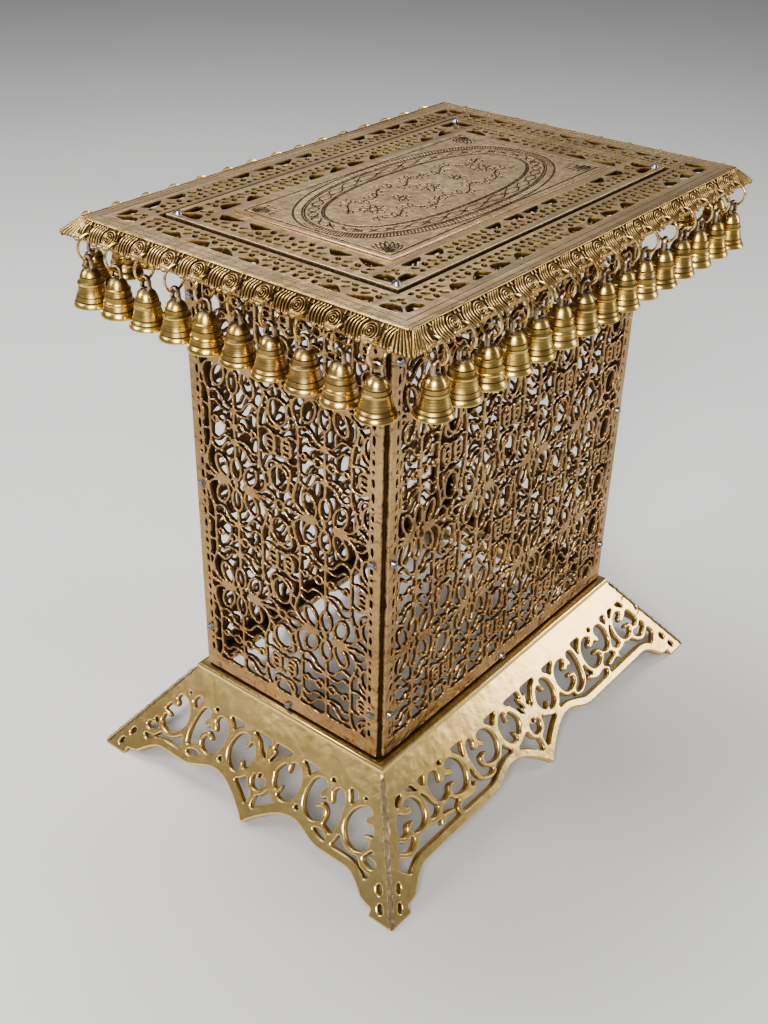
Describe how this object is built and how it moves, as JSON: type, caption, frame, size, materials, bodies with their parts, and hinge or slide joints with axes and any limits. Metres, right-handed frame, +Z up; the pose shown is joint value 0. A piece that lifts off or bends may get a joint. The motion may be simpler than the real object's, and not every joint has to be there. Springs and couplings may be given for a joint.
{
  "type": "pierced brass box stand",
  "caption": "Rectangular pierced-brass box on a flared openwork base, with an overhanging pierced top edged by small hanging bells that swing.",
  "frame": {"origin": "centre of the footprint on the floor", "axes": "+Z up, +X along the long sides, the long front facing -Y and the short left side facing -X"},
  "size_m": [0.4428, 0.3168, 0.46],
  "materials": {
    "cast_base_brass": "polished pale cast brass, soldered seams",
    "frame_brass": "dull brass inside the box",
    "pierced_brass": "satin antique cast filigree with dark recesses",
    "top_brass": "brushed satin plate with pierced leaves",
    "engraved_brass": "satin plate with dark engraved lines",
    "bell_brass": "turned bright brass with dark grooves",
    "screw_steel": "plated pan-head screws"
  },
  "bodies": {
    "stand": {"base_skirt": "cast_base_brass", "inner_frame": "frame_brass", "front_panel": "pierced_brass", "back_panel": "pierced_brass", "left_panel": "pierced_brass", "right_panel": "pierced_brass", "top_rim": "top_brass", "top_cover": "top_brass", "engraved_plate": "engraved_brass", "screws": "screw_steel"},
    "bell_front_01": {"bell_front_01": "bell_brass"},
    "bell_front_02": {"bell_front_02": "bell_brass"},
    "bell_front_03": {"bell_front_03": "bell_brass"},
    "bell_front_04": {"bell_front_04": "bell_brass"},
    "bell_front_05": {"bell_front_05": "bell_brass"},
    "bell_front_06": {"bell_front_06": "bell_brass"},
    "bell_front_07": {"bell_front_07": "bell_brass"},
    "bell_front_08": {"bell_front_08": "bell_brass"},
    "bell_front_09": {"bell_front_09": "bell_brass"},
    "bell_front_10": {"bell_front_10": "bell_brass"},
    "bell_front_11": {"bell_front_11": "bell_brass"},
    "bell_front_12": {"bell_front_12": "bell_brass"},
    "bell_front_13": {"bell_front_13": "bell_brass"},
    "bell_front_14": {"bell_front_14": "bell_brass"},
    "bell_front_15": {"bell_front_15": "bell_brass"},
    "bell_left_01": {"bell_left_01": "bell_brass"},
    "bell_left_02": {"bell_left_02": "bell_brass"},
    "bell_left_03": {"bell_left_03": "bell_brass"},
    "bell_left_04": {"bell_left_04": "bell_brass"},
    "bell_left_05": {"bell_left_05": "bell_brass"},
    "bell_left_06": {"bell_left_06": "bell_brass"},
    "bell_left_07": {"bell_left_07": "bell_brass"},
    "bell_left_08": {"bell_left_08": "bell_brass"},
    "bell_left_09": {"bell_left_09": "bell_brass"},
    "bell_left_10": {"bell_left_10": "bell_brass"},
    "bell_back_01": {"bell_back_01": "bell_brass"},
    "bell_back_02": {"bell_back_02": "bell_brass"},
    "bell_back_03": {"bell_back_03": "bell_brass"},
    "bell_back_04": {"bell_back_04": "bell_brass"},
    "bell_back_05": {"bell_back_05": "bell_brass"},
    "bell_back_06": {"bell_back_06": "bell_brass"},
    "bell_back_07": {"bell_back_07": "bell_brass"},
    "bell_back_08": {"bell_back_08": "bell_brass"},
    "bell_back_09": {"bell_back_09": "bell_brass"},
    "bell_back_10": {"bell_back_10": "bell_brass"},
    "bell_back_11": {"bell_back_11": "bell_brass"},
    "bell_back_12": {"bell_back_12": "bell_brass"},
    "bell_back_13": {"bell_back_13": "bell_brass"},
    "bell_back_14": {"bell_back_14": "bell_brass"},
    "bell_back_15": {"bell_back_15": "bell_brass"},
    "bell_right_01": {"bell_right_01": "bell_brass"},
    "bell_right_02": {"bell_right_02": "bell_brass"},
    "bell_right_03": {"bell_right_03": "bell_brass"},
    "bell_right_04": {"bell_right_04": "bell_brass"},
    "bell_right_05": {"bell_right_05": "bell_brass"},
    "bell_right_06": {"bell_right_06": "bell_brass"},
    "bell_right_07": {"bell_right_07": "bell_brass"},
    "bell_right_08": {"bell_right_08": "bell_brass"},
    "bell_right_09": {"bell_right_09": "bell_brass"},
    "bell_right_10": {"bell_right_10": "bell_brass"}
  },
  "joints": [
    {"name": "swing_front_01", "type": "hinge", "parent": "stand", "child": "bell_front_01", "pos_m": [-0.1862, -0.146, 0.4472], "axis": [-1, 0, 0], "range_deg": [-6, 60]},
    {"name": "swing_front_02", "type": "hinge", "parent": "stand", "child": "bell_front_02", "pos_m": [-0.1593, -0.146, 0.4472], "axis": [-1, 0, 0], "range_deg": [-35, 60]},
    {"name": "swing_front_03", "type": "hinge", "parent": "stand", "child": "bell_front_03", "pos_m": [-0.1334, -0.146, 0.4472], "axis": [-1, 0, 0], "range_deg": [-35, 60]},
    {"name": "swing_front_04", "type": "hinge", "parent": "stand", "child": "bell_front_04", "pos_m": [-0.1059, -0.146, 0.4472], "axis": [-1, 0, 0], "range_deg": [-35, 60]},
    {"name": "swing_front_05", "type": "hinge", "parent": "stand", "child": "bell_front_05", "pos_m": [-0.0797, -0.146, 0.4472], "axis": [-1, 0, 0], "range_deg": [-35, 60]},
    {"name": "swing_front_06", "type": "hinge", "parent": "stand", "child": "bell_front_06", "pos_m": [-0.0535, -0.146, 0.4472], "axis": [-1, 0, 0], "range_deg": [-35, 60]},
    {"name": "swing_front_07", "type": "hinge", "parent": "stand", "child": "bell_front_07", "pos_m": [-0.0262, -0.146, 0.4472], "axis": [-1, 0, 0], "range_deg": [-35, 60]},
    {"name": "swing_front_08", "type": "hinge", "parent": "stand", "child": "bell_front_08", "pos_m": [-0.0002, -0.146, 0.4472], "axis": [-1, 0, 0], "range_deg": [-35, 60]},
    {"name": "swing_front_09", "type": "hinge", "parent": "stand", "child": "bell_front_09", "pos_m": [0.0269, -0.146, 0.4472], "axis": [-1, 0, 0], "range_deg": [-35, 60]},
    {"name": "swing_front_10", "type": "hinge", "parent": "stand", "child": "bell_front_10", "pos_m": [0.0527, -0.146, 0.4472], "axis": [-1, 0, 0], "range_deg": [-35, 60]},
    {"name": "swing_front_11", "type": "hinge", "parent": "stand", "child": "bell_front_11", "pos_m": [0.08, -0.146, 0.4472], "axis": [-1, 0, 0], "range_deg": [-35, 60]},
    {"name": "swing_front_12", "type": "hinge", "parent": "stand", "child": "bell_front_12", "pos_m": [0.1068, -0.146, 0.4472], "axis": [-1, 0, 0], "range_deg": [-35, 60]},
    {"name": "swing_front_13", "type": "hinge", "parent": "stand", "child": "bell_front_13", "pos_m": [0.1327, -0.146, 0.4472], "axis": [-1, 0, 0], "range_deg": [-35, 60]},
    {"name": "swing_front_14", "type": "hinge", "parent": "stand", "child": "bell_front_14", "pos_m": [0.1598, -0.146, 0.4472], "axis": [-1, 0, 0], "range_deg": [-35, 60]},
    {"name": "swing_front_15", "type": "hinge", "parent": "stand", "child": "bell_front_15", "pos_m": [0.1862, -0.146, 0.4472], "axis": [-1, 0, 0], "range_deg": [-6, 60]},
    {"name": "swing_left_01", "type": "hinge", "parent": "stand", "child": "bell_left_01", "pos_m": [-0.209, 0.1224, 0.4472], "axis": [0, 1, 0], "range_deg": [-6, 60]},
    {"name": "swing_left_02", "type": "hinge", "parent": "stand", "child": "bell_left_02", "pos_m": [-0.209, 0.0956, 0.4472], "axis": [0, 1, 0], "range_deg": [-35, 60]},
    {"name": "swing_left_03", "type": "hinge", "parent": "stand", "child": "bell_left_03", "pos_m": [-0.209, 0.0677, 0.4472], "axis": [0, 1, 0], "range_deg": [-35, 60]},
    {"name": "swing_left_04", "type": "hinge", "parent": "stand", "child": "bell_left_04", "pos_m": [-0.209, 0.0403, 0.4472], "axis": [0, 1, 0], "range_deg": [-35, 60]},
    {"name": "swing_left_05", "type": "hinge", "parent": "stand", "child": "bell_left_05", "pos_m": [-0.209, 0.0138, 0.4472], "axis": [0, 1, 0], "range_deg": [-35, 60]},
    {"name": "swing_left_06", "type": "hinge", "parent": "stand", "child": "bell_left_06", "pos_m": [-0.209, -0.014, 0.4472], "axis": [0, 1, 0], "range_deg": [-35, 60]},
    {"name": "swing_left_07", "type": "hinge", "parent": "stand", "child": "bell_left_07", "pos_m": [-0.209, -0.0405, 0.4472], "axis": [0, 1, 0], "range_deg": [-35, 60]},
    {"name": "swing_left_08", "type": "hinge", "parent": "stand", "child": "bell_left_08", "pos_m": [-0.209, -0.0682, 0.4472], "axis": [0, 1, 0], "range_deg": [-35, 60]},
    {"name": "swing_left_09", "type": "hinge", "parent": "stand", "child": "bell_left_09", "pos_m": [-0.209, -0.0956, 0.4472], "axis": [0, 1, 0], "range_deg": [-35, 60]},
    {"name": "swing_left_10", "type": "hinge", "parent": "stand", "child": "bell_left_10", "pos_m": [-0.209, -0.1224, 0.4472], "axis": [0, 1, 0], "range_deg": [-6, 60]},
    {"name": "swing_back_01", "type": "hinge", "parent": "stand", "child": "bell_back_01", "pos_m": [0.1862, 0.146, 0.4472], "axis": [1, 0, 0], "range_deg": [-6, 60]},
    {"name": "swing_back_02", "type": "hinge", "parent": "stand", "child": "bell_back_02", "pos_m": [0.1593, 0.146, 0.4472], "axis": [1, 0, 0], "range_deg": [-35, 60]},
    {"name": "swing_back_03", "type": "hinge", "parent": "stand", "child": "bell_back_03", "pos_m": [0.1334, 0.146, 0.4472], "axis": [1, 0, 0], "range_deg": [-35, 60]},
    {"name": "swing_back_04", "type": "hinge", "parent": "stand", "child": "bell_back_04", "pos_m": [0.1059, 0.146, 0.4472], "axis": [1, 0, 0], "range_deg": [-35, 60]},
    {"name": "swing_back_05", "type": "hinge", "parent": "stand", "child": "bell_back_05", "pos_m": [0.0797, 0.146, 0.4472], "axis": [1, 0, 0], "range_deg": [-35, 60]},
    {"name": "swing_back_06", "type": "hinge", "parent": "stand", "child": "bell_back_06", "pos_m": [0.0535, 0.146, 0.4472], "axis": [1, 0, 0], "range_deg": [-35, 60]},
    {"name": "swing_back_07", "type": "hinge", "parent": "stand", "child": "bell_back_07", "pos_m": [0.0262, 0.146, 0.4472], "axis": [1, 0, 0], "range_deg": [-35, 60]},
    {"name": "swing_back_08", "type": "hinge", "parent": "stand", "child": "bell_back_08", "pos_m": [0.0002, 0.146, 0.4472], "axis": [1, 0, 0], "range_deg": [-35, 60]},
    {"name": "swing_back_09", "type": "hinge", "parent": "stand", "child": "bell_back_09", "pos_m": [-0.0269, 0.146, 0.4472], "axis": [1, 0, 0], "range_deg": [-35, 60]},
    {"name": "swing_back_10", "type": "hinge", "parent": "stand", "child": "bell_back_10", "pos_m": [-0.0527, 0.146, 0.4472], "axis": [1, 0, 0], "range_deg": [-35, 60]},
    {"name": "swing_back_11", "type": "hinge", "parent": "stand", "child": "bell_back_11", "pos_m": [-0.08, 0.146, 0.4472], "axis": [1, 0, 0], "range_deg": [-35, 60]},
    {"name": "swing_back_12", "type": "hinge", "parent": "stand", "child": "bell_back_12", "pos_m": [-0.1068, 0.146, 0.4472], "axis": [1, 0, 0], "range_deg": [-35, 60]},
    {"name": "swing_back_13", "type": "hinge", "parent": "stand", "child": "bell_back_13", "pos_m": [-0.1327, 0.146, 0.4472], "axis": [1, 0, 0], "range_deg": [-35, 60]},
    {"name": "swing_back_14", "type": "hinge", "parent": "stand", "child": "bell_back_14", "pos_m": [-0.1598, 0.146, 0.4472], "axis": [1, 0, 0], "range_deg": [-35, 60]},
    {"name": "swing_back_15", "type": "hinge", "parent": "stand", "child": "bell_back_15", "pos_m": [-0.1862, 0.146, 0.4472], "axis": [1, 0, 0], "range_deg": [-6, 60]},
    {"name": "swing_right_01", "type": "hinge", "parent": "stand", "child": "bell_right_01", "pos_m": [0.209, -0.1224, 0.4472], "axis": [0, -1, 0], "range_deg": [-6, 60]},
    {"name": "swing_right_02", "type": "hinge", "parent": "stand", "child": "bell_right_02", "pos_m": [0.209, -0.0956, 0.4472], "axis": [0, -1, 0], "range_deg": [-35, 60]},
    {"name": "swing_right_03", "type": "hinge", "parent": "stand", "child": "bell_right_03", "pos_m": [0.209, -0.0677, 0.4472], "axis": [0, -1, 0], "range_deg": [-35, 60]},
    {"name": "swing_right_04", "type": "hinge", "parent": "stand", "child": "bell_right_04", "pos_m": [0.209, -0.0403, 0.4472], "axis": [0, -1, 0], "range_deg": [-35, 60]},
    {"name": "swing_right_05", "type": "hinge", "parent": "stand", "child": "bell_right_05", "pos_m": [0.209, -0.0138, 0.4472], "axis": [0, -1, 0], "range_deg": [-35, 60]},
    {"name": "swing_right_06", "type": "hinge", "parent": "stand", "child": "bell_right_06", "pos_m": [0.209, 0.014, 0.4472], "axis": [0, -1, 0], "range_deg": [-35, 60]},
    {"name": "swing_right_07", "type": "hinge", "parent": "stand", "child": "bell_right_07", "pos_m": [0.209, 0.0405, 0.4472], "axis": [0, -1, 0], "range_deg": [-35, 60]},
    {"name": "swing_right_08", "type": "hinge", "parent": "stand", "child": "bell_right_08", "pos_m": [0.209, 0.0682, 0.4472], "axis": [0, -1, 0], "range_deg": [-35, 60]},
    {"name": "swing_right_09", "type": "hinge", "parent": "stand", "child": "bell_right_09", "pos_m": [0.209, 0.0956, 0.4472], "axis": [0, -1, 0], "range_deg": [-35, 60]},
    {"name": "swing_right_10", "type": "hinge", "parent": "stand", "child": "bell_right_10", "pos_m": [0.209, 0.1224, 0.4472], "axis": [0, -1, 0], "range_deg": [-6, 60]}
  ]
}
